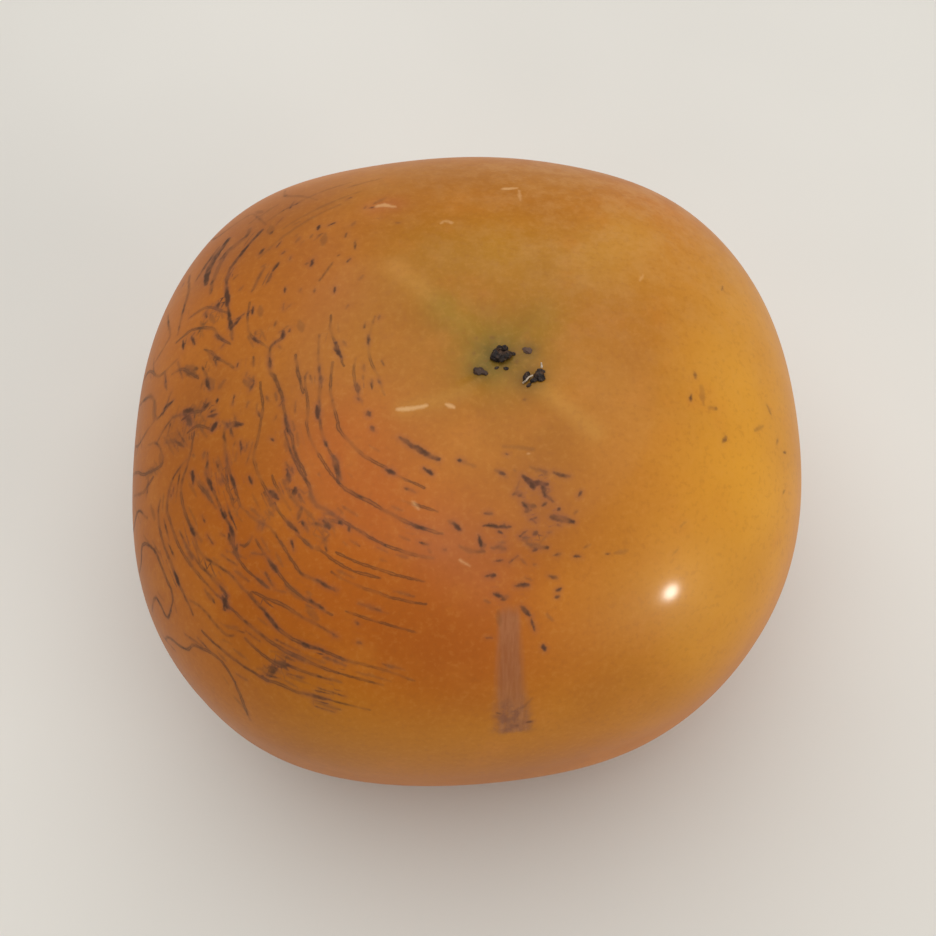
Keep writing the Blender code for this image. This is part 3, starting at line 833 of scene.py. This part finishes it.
patches = [
    ("warm", 350, 20, 25, 24, 12, 0.85),
    ("yellow", 312, 34, 352, 30, 12, 0.95),
    ("yellow", 5, 33, 20, 36, 9, 0.60),
    ("ochre", 300, 36, 250, 43, 9, 0.85),
    ("olive", 62, 9, 122, 12, 9, 0.90),
    # painted grazing reflection and shade along the far rim
    ("rimSheenAndShade", 70, 26, 135, 29, 8, 0.80),
    # painted shade on the left side, away from the lamps
    ("shade", 165, 28, 200, 30, 14, 0.55),
    ("shade", 150, 40, 215, 46, 12, 0.45),
    ("deep", 215, 18, 262, 23, 7, 0.70),
    ("ember", 240, 29, 268, 29, 6, 0.85),
    ("ember", 225, 33, 290, 31, 7, 0.45),
    ("ember", 205, 31, 225, 33, 4, 0.50),
    # painted shade low on the front, near the base
    ("paintedBaseShade", 255, 46, 280, 48, 8, 0.40),
    ("amber", 300, 9, 20, 12, 6, 0.65),
    ("bruise", 128, 31, 140, 35, 4.5, 0.50),
    ("bruise", 268, 19, 287, 18, 4.2, 0.34),
    ("bruise", 284, 13, 287, 15, 2.2, 0.30),
    ("bruise", 148, 35.5, 154, 37, 2.2, 0.50),
    ("bruise", 180, 31, 188, 34, 3.5, 0.35),
    ("blush", 257, 20, 270, 22, 3.5, 0.50),
    ("blush", 116, 23, 120, 23.6, 1.6, 0.60),
    ("blush", 150, 19, 140, 24, 5, 0.25),
    # painted sheen along the four arm crests and on the right flank
    ("paintedSheen", 50, 15, 46, 21, 4, 0.60),
    ("paintedSheen", 8, 24, 25, 30, 6, 0.35),
    ("paintedSheen", 318, 5, 319, 12, 1.0, 0.42),
    ("paintedSheen", 224, 5, 212, 11, 1.0, 0.45),
    ("paintedSheen", 137, 5, 133, 15, 1.1, 0.50),
    ("moss", 136, 3, 134, 8, 2.2, 0.75),
    ("moss", 48, 2, 46, 6, 2.2, 0.55),
    ("moss", 200, 1.5, 320, 1.5, 3.2, 0.45),
    ("moss", 90, 1.5, 150, 2, 4.2, 0.80),
    ("green", 120, 1.0, 190, 1.2, 2.0, 0.85),
]


def colourField(points):
    colour = np.tile(np.array(tones["ground"]), (len(points), 1))
    for tone, turnA, arcA, turnB, arcB, size, strength in patches:
        line = placeOnSkin([turnA, (turnA + turnB) / 2, turnB], [arcA, (arcA + arcB) / 2, arcB])
        far = np.full(len(points), 1.0)
        for a, b in zip(line[:-1], line[1:]):
            along = b - a
            share = np.clip(((points - a) @ along) / (along @ along), 0, 1)
            far = np.minimum(far, np.linalg.norm(points - a - share[:, None] * along, axis=1))
        mask = strength * bell(far, size * mm)[:, None]
        colour = colour * (1 - mask) + np.array(tones[tone]) * mask
    return colour


scuff = {
    "turn": (276.6, 278.1),     # at its upper and lower end
    "arc": (24.5, 39.3),
    "halfWidth": 1.25 * mm,
}


def scuffField(turns, arcs, radius):
    low, high = scuff["arc"]
    share = np.clip((arcs - low) / (high - low), 0, 1)
    centre = scuff["turn"][0] * (1 - share) + scuff["turn"][1] * share
    gap = np.radians(turns - centre) * radius
    across = np.clip(1.6 - np.abs(gap) / (scuff["halfWidth"] * (0.7 + 0.6 * share)), 0, 1)
    ends = np.clip((arcs - low + 0.6) / 1.8, 0, 1) * np.clip((high - arcs) / 0.8 + 0.5, 0, 1)
    return across * ends


def spacedTurns():
    first, last = fruit["fineTurns"]
    turns = [float(first)]
    while turns[-1] < first + 360:
        at = turns[-1]
        if at < last:
            step = fruit["fineStep"]
        elif at < 360 + fruit["midEnd"]:
            step = fruit["midStep"]
        else:
            step = fruit["coarseStep"]
        turns.append(at + step)
    return np.array(turns[:-1])


def spacedTilts():
    f = fruit
    arcs = meridianArcs([rad(225)])[0]
    total = arcs[-1] / mm
    spots = [f["fineRow"]]
    while spots[-1] < total - 0.5:
        at = spots[-1]
        if at < f["detailArc"]:
            step = f["fineRow"] + f["rowGrowth"] * min(1, at / 10)
        else:
            step = min(f["coarseRow"], f["midRow"] + (at - f["detailArc"]) * 0.06)
        spots.append(at + step)
    return np.interp(np.array(spots[:-1]) * mm, arcs, tiltSteps)


def shellMesh(name, rings, first, last):
    # a closed mesh from rings of points and a point at each end
    count, around = rings.shape[:2]
    points = np.concatenate([first[None], rings.reshape(-1, 3), last[None]])
    j = np.arange(around)
    k = (j + 1) % around
    end = count * around + 1
    faces = [(0, int(1 + a), int(1 + b)) for a, b in zip(j, k)]
    for i in range(count - 1):
        top, low = 1 + i * around, 1 + (i + 1) * around
        faces += np.stack([top + j, low + j, low + k, top + k], 1).tolist()
    base = 1 + (count - 1) * around
    faces += [(int(base + b), int(base + a), end) for a, b in zip(j, k)]
    mesh = bpy.data.meshes.new(name)
    mesh.from_pydata(points.tolist(), [], faces)
    mesh.shade_smooth()
    return mesh, points


def setField(mesh, name, values):
    layer = mesh.attributes.new(name, "FLOAT", "POINT")
    layer.data.foreach_set("value", np.ascontiguousarray(values, np.float32).ravel())


def setColour(mesh, name, colours):
    layer = mesh.attributes.new(name, "FLOAT_COLOR", "POINT")
    full = np.concatenate([colours, np.ones((len(colours), 1))], 1)
    layer.data.foreach_set("color", full.astype(np.float32).ravel())


def wavyPush(points, turns, arcs, radius):
    # how far each vertex moves outwards: slow waves, and a fine crest along each arm
    f = fruit
    push = np.zeros(len(points))
    waves = np.random.default_rng(f["waveSeed"])
    for _ in range(f["waves"]):
        way = waves.normal(0, 1, 3)
        way /= np.linalg.norm(way)
        length = waves.uniform(*f["waveLength"]) * mm
        push += np.sin(points @ way * 2 * math.pi / length + waves.uniform(0, 6.3))
    push *= f["waviness"] / 3 * np.clip((arcs - 3) / 9, 0, 1)
    for arm in f["armTurns"]:
        gap = np.radians((turns - arm + 180) % 360 - 180) * radius
        bend = f["armBend"] * np.sin(arcs * 0.35 + arm)
        ahead = np.abs((turns - arm + 180) % 360 - 180) < 60
        share = np.clip(arcs / 4, 0, 1) * np.clip((21 - arcs) / 12, 0, 1)
        push += ahead * share * f["armHeight"] * bell(gap + bend, f["armWidth"] * (1 + arcs / 14))
    return push


skinTints = {
    # what is laid over the skin's own colour: its strength and its colour
    "smudge": (0.30, rgb(0.58, 0.20, 0.02)),
    "fleckPale": (0.13, rgb(0.66, 0.30, 0.06)),
    "fleckDark": (0.18, rgb(0.30, 0.085, 0.008)),
    "bloom": (0.30, rgb(0.66, 0.36, 0.13)),
    "scuffLow": (0.62, rgb(0.18, 0.070, 0.040)),
    "stain": (1.0, rgb(0.175, 0.070, 0.024)),
    "core": (0.94, rgb(0.034, 0.019, 0.008)),
    # pale scars and painted glints
    "scar": (1.0, rgb(0.78, 0.46, 0.20)),
    "halo": (0.24, rgb(0.27, 0.085, 0.042)),
}


def tinted(mask, colour, name):
    strength, tint = skinTints[name]
    return (mask * strength).blend(colour, tint)


def fruitFinish():
    finish = {
        "IOR": 1.42,
        "Specular IOR Level": 0.23,
        "Coat Roughness": 0.14,
    }
    material, shader, start = newFinish("fruit_skin_waxy", finish)
    ground = start.field("skinTone", 0)

    # cloudy mottling, then finer flecks
    cloud = start.grain(70.0, 3.0, 0.55)
    colour = cloud.rise(0.3, 0.7).blend(ground, rgb(0.88, 0.84, 0.8), "MULTIPLY")
    smudge = start.grain(170.0, 4.0, 0.6, offset=(0.3, 0.1, 0.2))
    colour = tinted(smudge.rise(0.5, 0.75), colour, "smudge")
    fleck = start.grain(1700.0, 2.0, 0.6)
    colour = tinted(fleck.rise(0.50, 0.74), colour, "fleckPale")
    colour = tinted((1 - fleck).rise(0.50, 0.74), colour, "fleckDark")
    bloom = start.field("bloom") * start.grain(420.0, 4.0, 0.7).rise(0.38, 0.7)
    colour = tinted(bloom, colour, "bloom")

    # the long scuff, streaked lengthwise
    streak = start.grain(1.0, 4.0, 0.6, along=(2300, 300, 220))
    band = start.field("scuff") * (0.50 + 0.6 * streak)
    low = start.field("scuffLow") * start.grain(900.0, 3.0, 0.6).rise(0.38, 0.62)
    scuffed = streak.rise(0.3, 0.7).blend(rgb(0.26, 0.090, 0.038), rgb(0.36, 0.148, 0.068))
    colour = (band.rise(0.15, 0.80) * 0.68).blend(colour, scuffed)
    colour = tinted(low, colour, "scuffLow")

    # lines, then specks, which are blotchier
    ragged = start.grain(1500.0, 4.0, 0.7) - 0.5
    blotch = start.grain(950.0, 3.0, 0.6, offset=(0.4, 0.9, 0.1)) - 0.5
    beads = start.grain(620.0, 2.0, 0.5, offset=(0.1, 0.4, 0.0))
    gaps = start.grain(380.0, 2.0, 0.5, offset=(0.7, 0.2, 0.3))
    crust = []
    for prefix in ("lineA", "lineB", "speckA", "speckB", "speckC"):
        # how far blotches carry the edge, and how dark the doubled edge is
        stray, double = (0.12, 0.62) if prefix.startswith("line") else (0.42, 0)
        near = start.field(prefix + "Near")
        side = start.field(prefix + "Side")
        past = start.field(prefix + "Past")
        width = start.field(prefix + "Width")
        dark = start.field(prefix + "Dark")
        away = (side * side + past * past).root().above(near - 0.35) - ragged * 0.30 - blotch * stray
        stain = (width + 0.03 - away).rise(-0.17, 0.20)
        cut = dark.rise(-0.3, -0.1)
        cover = stain * (0.26 + dark * 0.42) * (0.35 + gaps * 1.3)
        colour = tinted(cover * cut, colour, "stain")
        strength = (dark * 1.25 + beads * 2.3 - 1.64).rise(0.0, 0.70)
        core = (width - away).rise(-0.12, 0.16) * strength
        if double:      # long lines have two dark edges
            rim = (1 - (away - width * 0.72).size() * 10).above(0)
            core = (core * 0.85).above(rim * gaps.rise(0.38, 0.60) * double)
        colour = tinted(core * cut, colour, "core")
        # pale marks: scars and painted glints
        scar = (1 - cut) * stain * (0.10 - dark * 0.5)
        colour = tinted(scar, colour, "scar")
        halo = (width + 0.6 - away).rise(0.0, 0.6) * dark.rise(0.1, 1.0)
        colour = tinted(halo, colour, "halo")
        crust.append(cover.above(core))
    line = crust[0]
    for other in crust[1:]:
        line = line.above(other)
    feed(shader, "Base Color", colour)

    rough = 0.42 + cloud * 0.10 + fleck * 0.06 + line * 0.16 + band * 0.12
    feed(shader, "Roughness", rough)
    feed(shader, "Coat Weight", 0.12 - line * 0.09)
    pores = start.grain(2300.0, 2.0, 0.5) * 0.35 + start.grain(520.0, 2.0, 0.5) * 0.65
    addBump(start, shader, pores + line * 0.5 + band * 0.2, 0.42, 0.05 * mm)
    return material


def centreShift(points):
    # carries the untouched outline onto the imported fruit's middle
    low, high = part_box("fruit")
    middleNow = (points.min(0) + points.max(0)) / 2
    return np.array([(low.x + high.x) / 2 - middleNow[0], (low.y + high.y) / 2 - middleNow[1], low.z])


turnList = spacedTurns()
tiltList = spacedTilts()
rings = skinPoints(tiltList[:, None], np.radians(turnList)[None, :])
fruitOffset = centreShift(rings.reshape(-1, 3))


# dark stain round each style remnant, together with painted contact shade so that they sit in the skin
styleStainAndShade = {
    "spots": ("back_left", "back_right", "front_left", "front_right"),
    "spread": 1.6,              # times the remnant's half size
    "strength": 0.62,
    "above": 20 * mm,           # only the top of the fruit gets the dark stain and painted shade
}


def addFruit():
    arcRows = meridianArcs(np.radians(turnList))
    arcGrid = np.stack([np.interp(tiltList, tiltSteps, row) for row in arcRows], 1) / mm
    turnGrid = np.broadcast_to(turnList % 360, arcGrid.shape)
    first = skinPoints(np.array(0.0), np.array(0.0))
    last = skinPoints(np.array(math.pi), np.array(0.0))
    mesh, points = shellMesh("fruit_flesh", rings, first, last)
    turns = np.concatenate([[0.0], turnGrid.ravel(), [0.0]])
    arcs = np.concatenate([[0.0], arcGrid.ravel(), [arcGrid.max()]])
    radius = np.hypot(points[:, 0] - fruit["apexShift"], points[:, 1])

    for prefix, lines in markLayers().items():
        for name, values in markFields(points, lines, prefix).items():
            setField(mesh, name, values)
    tone = colourField(points)
    # dark stain and painted contact shade round each style remnant
    stain = styleStainAndShade
    for spot in stain["spots"]:
        low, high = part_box("style_remnant_" + spot)
        middle = np.array([(low.x + high.x) / 2, (low.y + high.y) / 2]) - fruitOffset[:2]
        size = ((high.x - low.x) * (high.y - low.y)) ** 0.5 / 2
        far = np.linalg.norm(points[:, :2] - middle, axis=1)
        mask = bell(far, size * stain["spread"]) * (points[:, 2] > stain["above"])
        tone = tone + (np.array(tones["darkStainAndShade"]) - tone) * (stain["strength"] * mask[:, None])
    setColour(mesh, "skinTone", tone)
    setField(mesh, "scuff", scuffField(turns, arcs, radius))
    setField(mesh, "scuffLow", scuffField(turns, arcs, radius) * np.clip((arcs - 33.5) / 2.5, 0, 1))
    bloomAt = placeOnSkin([60], [30])[0]
    setField(mesh, "bloom", bell(np.linalg.norm(points - bloomAt, axis=1), 22 * mm))

    normals = np.empty(len(points) * 3, np.float32)
    mesh.vertex_normals.foreach_get("vector", normals)
    moved = points + normals.reshape(-1, 3) * wavyPush(points, turns, arcs, radius)[:, None]
    moved[:, 2] = np.maximum(moved[:, 2], 0)
    moved += fruitOffset
    mesh.vertices.foreach_set("co", moved.astype(np.float32).ravel())
    mesh.update()
    mesh.materials.append(fruitFinish())
    piece = bpy.data.objects.new("fruit_flesh", mesh)
    bpy.context.scene.collection.objects.link(piece)
    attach(piece, "root")
    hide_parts("fruit")
    return piece


# Calyx: four dry lobes joined in one cap, pressed against the underside

calyx = {
    "reach": 23.6 * mm,
    "waist": 10.0 * mm,
    "disc": 8.0 * mm,
    "discThickness": 2.1 * mm,
    "lobeThickness": 0.55 * mm,
    "gap": 0.45 * mm,
    "wallClearance": 1.2 * mm,
    "flutter": 0.45 * mm,       # how far the dry edges stray
    "veins": 9,                 # on each side of a lobe's midrib
    "veinHeight": 0.14 * mm,
    "around": 360,
    "rings": 44,
}


def calyxOutline(turn):
    c = calyx
    across = np.abs(np.sin(2 * (turn - fruit["cornerTurn"])))
    tip = bell(1 - across, 0.03)
    reach = c["waist"] + (c["reach"] - c["waist"]) * (0.9 * across**0.9 + 0.1 * tip)
    ragged = 0.012 * np.sin(23 * turn) + 0.008 * np.sin(57 * turn + 1) + 0.006 * np.sin(91 * turn)
    return reach * (1 + ragged * across)


def veinPattern(share, turn):
    # a midrib down each lobe and side veins that run out from it
    lobe = np.mod(turn - fruit["cornerTurn"], math.pi / 2) - math.pi / 4
    aside = np.abs(lobe)
    rib = bell(aside * share, 0.022)
    side = 0.5 + 0.5 * np.cos((share - aside * 0.55) * 2 * math.pi * calyx["veins"])
    return np.maximum(rib, side**6 * 0.6 * np.clip(share * 3 - 1, 0, 1))


def calyxFinish():
    material, shader, start = newFinish("calyx_dry_leaf", {"Specular IOR Level": 0.3})
    vein = start.field("vein")
    edge = start.field("edge")
    cloud = start.grain(220.0, 4.0, 0.6)
    fibre = start.grain(1600.0, 3.0, 0.65)
    colour = cloud.rise(0.35, 0.68).blend(rgb(0.17, 0.155, 0.06), rgb(0.23, 0.15, 0.065))
    colour = (fibre.rise(0.45, 0.75) * 0.5).blend(colour, rgb(0.33, 0.25, 0.12))
    colour = (edge.rise(0.55, 1.0) * 0.8).blend(colour, rgb(0.10, 0.055, 0.025))
    colour = (vein * 0.55).blend(colour, rgb(0.36, 0.29, 0.14))
    spots = start.grain(900.0, 2.0, 0.5, offset=(0.5, 0.2, 0.1)).rise(0.66, 0.72)
    colour = (spots * 0.7).blend(colour, rgb(0.05, 0.03, 0.018))
    feed(shader, "Base Color", colour)
    feed(shader, "Roughness", 0.62 + fibre * 0.2)
    addBump(start, shader, fibre * 0.6 + cloud * 0.4 + vein * 0.5, 0.5, 0.12 * mm)
    return material


def addCalyx():
    c = calyx
    turn = np.linspace(0, 2 * math.pi, c["around"], endpoint=False)[None, :]
    tilt = np.linspace(0, math.pi, 2 * c["rings"] + 1)[1:-1][:, None]
    share = np.sin(tilt) ** 0.8
    radius = calyxOutline(turn) * share
    roof = baseHeight(radius, turn, fruit["hollowRadius"] - c["wallClearance"]) - rest - c["gap"]
    half = (c["lobeThickness"] + (c["discThickness"] - c["lobeThickness"]) * bell(radius, c["disc"], 6)) / 2
    flutter = c["flutter"] * share**4 * (0.5 + 0.5 * np.sin(9 * turn + 2.0) * np.sin(5 * turn + 0.7))
    vein = veinPattern(share, turn)
    rounding = np.sqrt(1 - np.minimum(share, 1) ** 10)
    facing = np.sign(np.cos(tilt))
    height = roof - half - flutter + facing * half * rounding
    height = height - np.where(facing < 0, c["veinHeight"] * vein * (1 - share**12), 0)
    low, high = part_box("calyx")
    height = np.maximum(height, low.z + (1 - share) * 0.2 * mm)
    points = np.stack([radius * np.cos(turn), radius * np.sin(turn), height + 0 * radius], -1)
    first = np.array([0, 0, points[0, :, 2].mean()])
    last = np.array([0, 0, points[-1, :, 2].mean()])
    mesh, flat = shellMesh("calyx_cap", points, first, last)
    setField(mesh, "vein", np.concatenate([[0], (vein + 0 * radius).ravel(), [0]]))
    setField(mesh, "edge", np.concatenate([[0], (share + 0 * radius).ravel(), [0]]))
    middleNow = (flat.min(0) + flat.max(0)) / 2
    centre = (low + high) / 2
    mesh.transform(Matrix.Translation((centre.x - middleNow[0], centre.y - middleNow[1], 0)))
    mesh.materials.append(calyxFinish())
    piece = bpy.data.objects.new("calyx_cap", mesh)
    bpy.context.scene.collection.objects.link(piece)
    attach(piece, "root")
    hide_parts("calyx")


# Cut stalk

stalk = {
    "ribs": 11,
    "ribDepth": 0.10 * mm,
    "around": 120,
    "rings": 26,
    "round": 0.14,              # share of the height taken by the worn edges
}


def stalkFinish():
    material, shader, start = newFinish("stalk_bark", {"Specular IOR Level": 0.25})
    bark = start.grain(1.0, 4.0, 0.65, along=(1900, 1900, 260))
    colour = bark.rise(0.3, 0.72).blend(rgb(0.07, 0.042, 0.022), rgb(0.24, 0.15, 0.075))
    speck = start.grain(2200.0, 2.0, 0.5).rise(0.6, 0.7)
    colour = (speck * 0.5).blend(colour, rgb(0.34, 0.25, 0.14))
    pith = start.field("cut") * start.grain(1500.0, 3.0, 0.6).rise(0.25, 0.6)
    colour = pith.blend(colour, rgb(0.30, 0.21, 0.11))
    feed(shader, "Base Color", colour)
    feed(shader, "Roughness", 0.7 + bark * 0.2)
    addBump(start, shader, bark, 0.7, 0.15 * mm)
    return material


def addStalk():
    low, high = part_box("stalk")
    centre = (low + high) / 2
    wide = (high.x - low.x) / 2
    steps = np.linspace(0, 1, stalk["rings"])
    turn = np.linspace(0, 2 * math.pi, stalk["around"], endpoint=False)
    edge = np.minimum(steps, 1 - steps) / stalk["round"]
    inset = 1 - 0.16 * np.clip(1 - edge, 0, 1) ** 2
    radius = wide * (0.80 + 0.20 * steps**1.5) * inset
    ribs = np.sin(stalk["ribs"] * turn) + 0.6 * np.sin(19 * turn + 1.3)
    radius = radius[:, None] - stalk["ribDepth"] * (1 + ribs[None, :]) * 0.6
    height = (low.z + (high.z - low.z) * steps)[:, None] + 0 * radius
    side = np.stack([radius * np.cos(turn), radius * np.sin(turn), height], -1)
    closer = np.array([0.3, 0.6, 0.85])
    below = side[0][None] * np.array([1, 1, 0]) * closer[:, None, None]
    roughEnd = 0.10 * mm * np.abs(np.sin(7 * turn))[None, :] * closer[:, None]
    below[..., 2] = low.z + roughEnd
    above = side[-1][None] * np.array([1, 1, 0]) * closer[::-1, None, None]
    above[..., 2] = high.z
    allRings = np.concatenate([below, side, above])
    allRings[..., :2] += np.array([centre.x, centre.y])
    first = np.array([centre.x, centre.y, low.z + 0.05 * mm])
    last = np.array([centre.x, centre.y, high.z])
    mesh, flat = shellMesh("stalk_stub", allRings, first, last)
    cut = np.zeros(len(flat))
    cut[: 1 + 4 * stalk["around"]] = 1
    setField(mesh, "cut", cut)
    mesh.materials.append(stalkFinish())
    piece = bpy.data.objects.new("stalk_stub", mesh)
    bpy.context.scene.collection.objects.link(piece)
    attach(piece, "root")
    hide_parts("stalk")


# Dried remnants of the four styles. Each lump: x, y and height over the skin in mm from the
# middle of the imported remnant, three half sizes, direction

remnants = {
    "style_remnant_back_left": [
        (-0.22, 0.02, 0.35, 0.74, 0.70, 0.55, 20),
        (0.40, 0.62, 0.60, 0.34, 0.34, 0.42, 60),
        (0.55, 0.05, 0.45, 0.42, 0.60, 0.45, 100),
        (-0.62, -0.18, 0.28, 0.44, 0.40, 0.38, 150),
        (-0.12, 0.60, 0.60, 0.34, 0.34, 0.40, 0),
        (0.10, -0.30, 0.45, 0.50, 0.34, 0.32, 10),
        (1.28, 0.32, 0.06, 0.17, 0.20, 0.16, 40),
        (0.52, -1.28, 0.04, 0.26, 0.18, 0.12, 0),
        (-0.42, -1.22, 0.03, 0.24, 0.14, 0.10, 30),
    ],
    "style_remnant_front_left": [
        (-0.15, 0.06, 0.16, 0.54, 0.42, 0.32, 10),
        (0.40, -0.10, 0.12, 0.36, 0.26, 0.24, 150),
        (-0.42, 0.24, 0.18, 0.27, 0.26, 0.26, 60),
    ],
    "style_remnant_front_right": [
        (0.78, 0.12, 0.35, 0.52, 0.58, 0.46, 20),
        (0.98, 0.62, 0.58, 0.18, 0.44, 0.20, 70),
        (1.02, -0.22, 0.25, 0.36, 0.28, 0.26, 20),
        (-0.46, 0.10, 0.28, 0.30, 0.58, 0.36, -22),
        (-0.22, -0.82, 0.12, 0.30, 0.17, 0.16, 40),
        (0.30, -0.30, 0.20, 0.44, 0.26, 0.24, 25),
    ],
    "style_remnant_back_right": [
        (-0.10, 0.00, 0.05, 0.46, 0.36, 0.17, -20),
        (-0.42, 0.20, 0.03, 0.24, 0.22, 0.12, 30),
    ],
}

wornShare = {                   # how brown and worn a remnant is, where it isn't black
    "style_remnant_back_right": 1.0,
    "style_remnant_front_left": 0.45,
}

fibre = {
    # points of a pale thread on the front right remnant, mm from its middle, height over the skin
    "thread": [(-0.80, -0.52, 0.10), (-0.52, -0.40, 0.34), (-0.22, -0.06, 0.44), (0.16, 0.10, 0.52)],
    "tip": [(1.04, 0.92, 0.66), (1.02, 1.12, 0.84), (0.98, 1.30, 1.02)],
    "radius": 0.11 * mm,
}


def skinHeight(x, y):
    # height of the skin over a world place near the apex
    shift = fruit["apexShift"]
    for _ in range(4):
        localX, localY = x - fruitOffset[0] - shift, y - fruitOffset[1]
        radius, turn = math.hypot(localX, localY), math.atan2(localY, localX)
        shift = float(topShift(radius, turn))
    return float(middle + topHeight(radius, turn)) + fruitOffset[2]


def driedFinish():
    material, shader, start = newFinish("style_dried", {"Specular IOR Level": 0.22})
    crust = start.grain(2600.0, 4.0, 0.65)
    hollow = start.grain(1100.0, 2.0, 0.5, offset=(0.2, 0.3, 0.7))
    colour = crust.rise(0.42, 0.72).blend(rgb(0.014, 0.010, 0.010), rgb(0.085, 0.052, 0.036))
    colour = (hollow.rise(0.55, 0.75) * 0.7).blend(colour, rgb(0.11, 0.055, 0.030))
    colour = (start.field("worn") * 0.75).blend(colour, rgb(0.15, 0.085, 0.060))
    feed(shader, "Base Color", colour)
    feed(shader, "Roughness", 0.38 + crust * 0.4)
    addBump(start, shader, crust * 0.6 + hollow * 0.4, 0.8, 0.10 * mm)
    return material


def threadFinish():
    material, shader, start = newFinish("style_thread", {"Roughness": 0.5})
    dry = start.grain(1.0, 3.0, 0.6, along=(3000, 3000, 900))
    feed(shader, "Base Color", dry.rise(0.35, 0.7).blend(rgb(0.36, 0.27, 0.19), rgb(0.66, 0.56, 0.45)))
    addBump(start, shader, dry, 0.4, 0.03 * mm)
    return material


def addRemnants():
    finish = driedFinish()
    for name, lumps in remnants.items():
        low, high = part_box(name)
        centre = (low + high) / 2
        bm = bmesh.new()
        for x, y, lift, a, b, c, way in lumps:
            made = bmesh.ops.create_icosphere(bm, subdivisions=4, radius=1.0)
            spin = Matrix.Rotation(rad(way), 3, "Z")
            seat = Vector((centre.x + x * mm, centre.y + y * mm, 0))
            seat.z = skinHeight(seat.x, seat.y) + lift * mm
            for vert in made["verts"]:
                away = vert.co.copy()
                crinkle = noise.fractal(away * 1.7 + seat * 900, 0.9, 2.2, 4)
                crease = abs(noise.noise(away * 3.2 + seat * 500))
                scale = 1 + 0.30 * crinkle - 0.22 * crease
                vert.co = seat + spin @ Vector((away.x * a, away.y * b, away.z * c)) * scale * mm
        mesh = bpy.data.meshes.new(name + "_dried")
        bm.to_mesh(mesh)
        bm.free()
        mesh.shade_smooth()
        setField(mesh, "worn", np.full(len(mesh.vertices), wornShare.get(name, 0.0)))
        mesh.materials.append(finish)
        piece = bpy.data.objects.new(name + "_dried", mesh)
        bpy.context.scene.collection.objects.link(piece)
        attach(piece, "root")
        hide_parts(name)


def addThreads():
    low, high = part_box("style_remnant_front_right")
    centre = (low + high) / 2
    finish = threadFinish()
    for name in ("thread", "tip"):
        curve = bpy.data.curves.new("style_" + name, "CURVE")
        curve.dimensions = "3D"
        curve.bevel_depth = fibre["radius"]
        curve.bevel_resolution = 3
        curve.use_fill_caps = True
        spline = curve.splines.new("POLY")
        spline.points.add(len(fibre[name]) - 1)
        for i, (point, (x, y, lift)) in enumerate(zip(spline.points, fibre[name])):
            seat = Vector((centre.x + x * mm, centre.y + y * mm, 0))
            seat.z = skinHeight(seat.x, seat.y) + lift * mm
            point.co = (*seat, 1)
            point.radius = 1.0 - 0.5 * i / len(fibre[name])
        curve.materials.append(finish)
        piece = bpy.data.objects.new("style_" + name, curve)
        bpy.context.scene.collection.objects.link(piece)
        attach(piece, "root")


# Lights: turn and height in degrees round the fruit, distance, size, power, colour

lights = {
    "window": (-41, 24, 0.9, 0.08, 4.4, (1.0, 0.95, 0.84)),
    "sky": (95, 72, 1.6, 2.5, 22.8, (1.0, 0.985, 0.96)),
    "fill": (-28, 9, 1.3, 0.9, 6.2, (1.0, 0.97, 0.90)),
}

surround = {
    "tone": rgb(1.0, 0.985, 0.96),
    "strength": 0.37,
    "lampAim": 25 * mm,         # height that the lamps point at
}


def addLights():
    for name, (turn, height, distance, size, power, tone) in lights.items():
        data = bpy.data.lights.new(name, "AREA")
        data.shape = "DISK"
        data.size = size
        data.energy = power
        data.color = tone
        lamp = bpy.data.objects.new(name, data)
        out = Vector((math.cos(rad(turn)) * math.cos(rad(height)),
                      math.sin(rad(turn)) * math.cos(rad(height)), math.sin(rad(height))))
        lamp.location = out * distance + Vector((0, 0, surround["lampAim"]))
        lamp.rotation_euler = out.to_track_quat("Z", "Y").to_euler()
        lamp.visible_diffuse = name != "window"     # this one only gives the highlight
        lamp.visible_glossy = name != "fill"        # and this one no glare
        bpy.context.scene.collection.objects.link(lamp)
    world = bpy.data.worlds.new("studio")
    world.use_nodes = True
    back = world.node_tree.nodes["Background"]
    back.inputs["Color"].default_value = surround["tone"]
    back.inputs["Strength"].default_value = surround["strength"]
    bpy.context.scene.world = world
    bpy.context.scene.view_settings.view_transform = "Standard"


addCamera()
addFloor()
addLights()
print("stage ready")
addFruit()
print("fruit ready")
addCalyx()
addStalk()
print("calyx and stalk ready")
addRemnants()
addThreads()
print("dried styles ready")
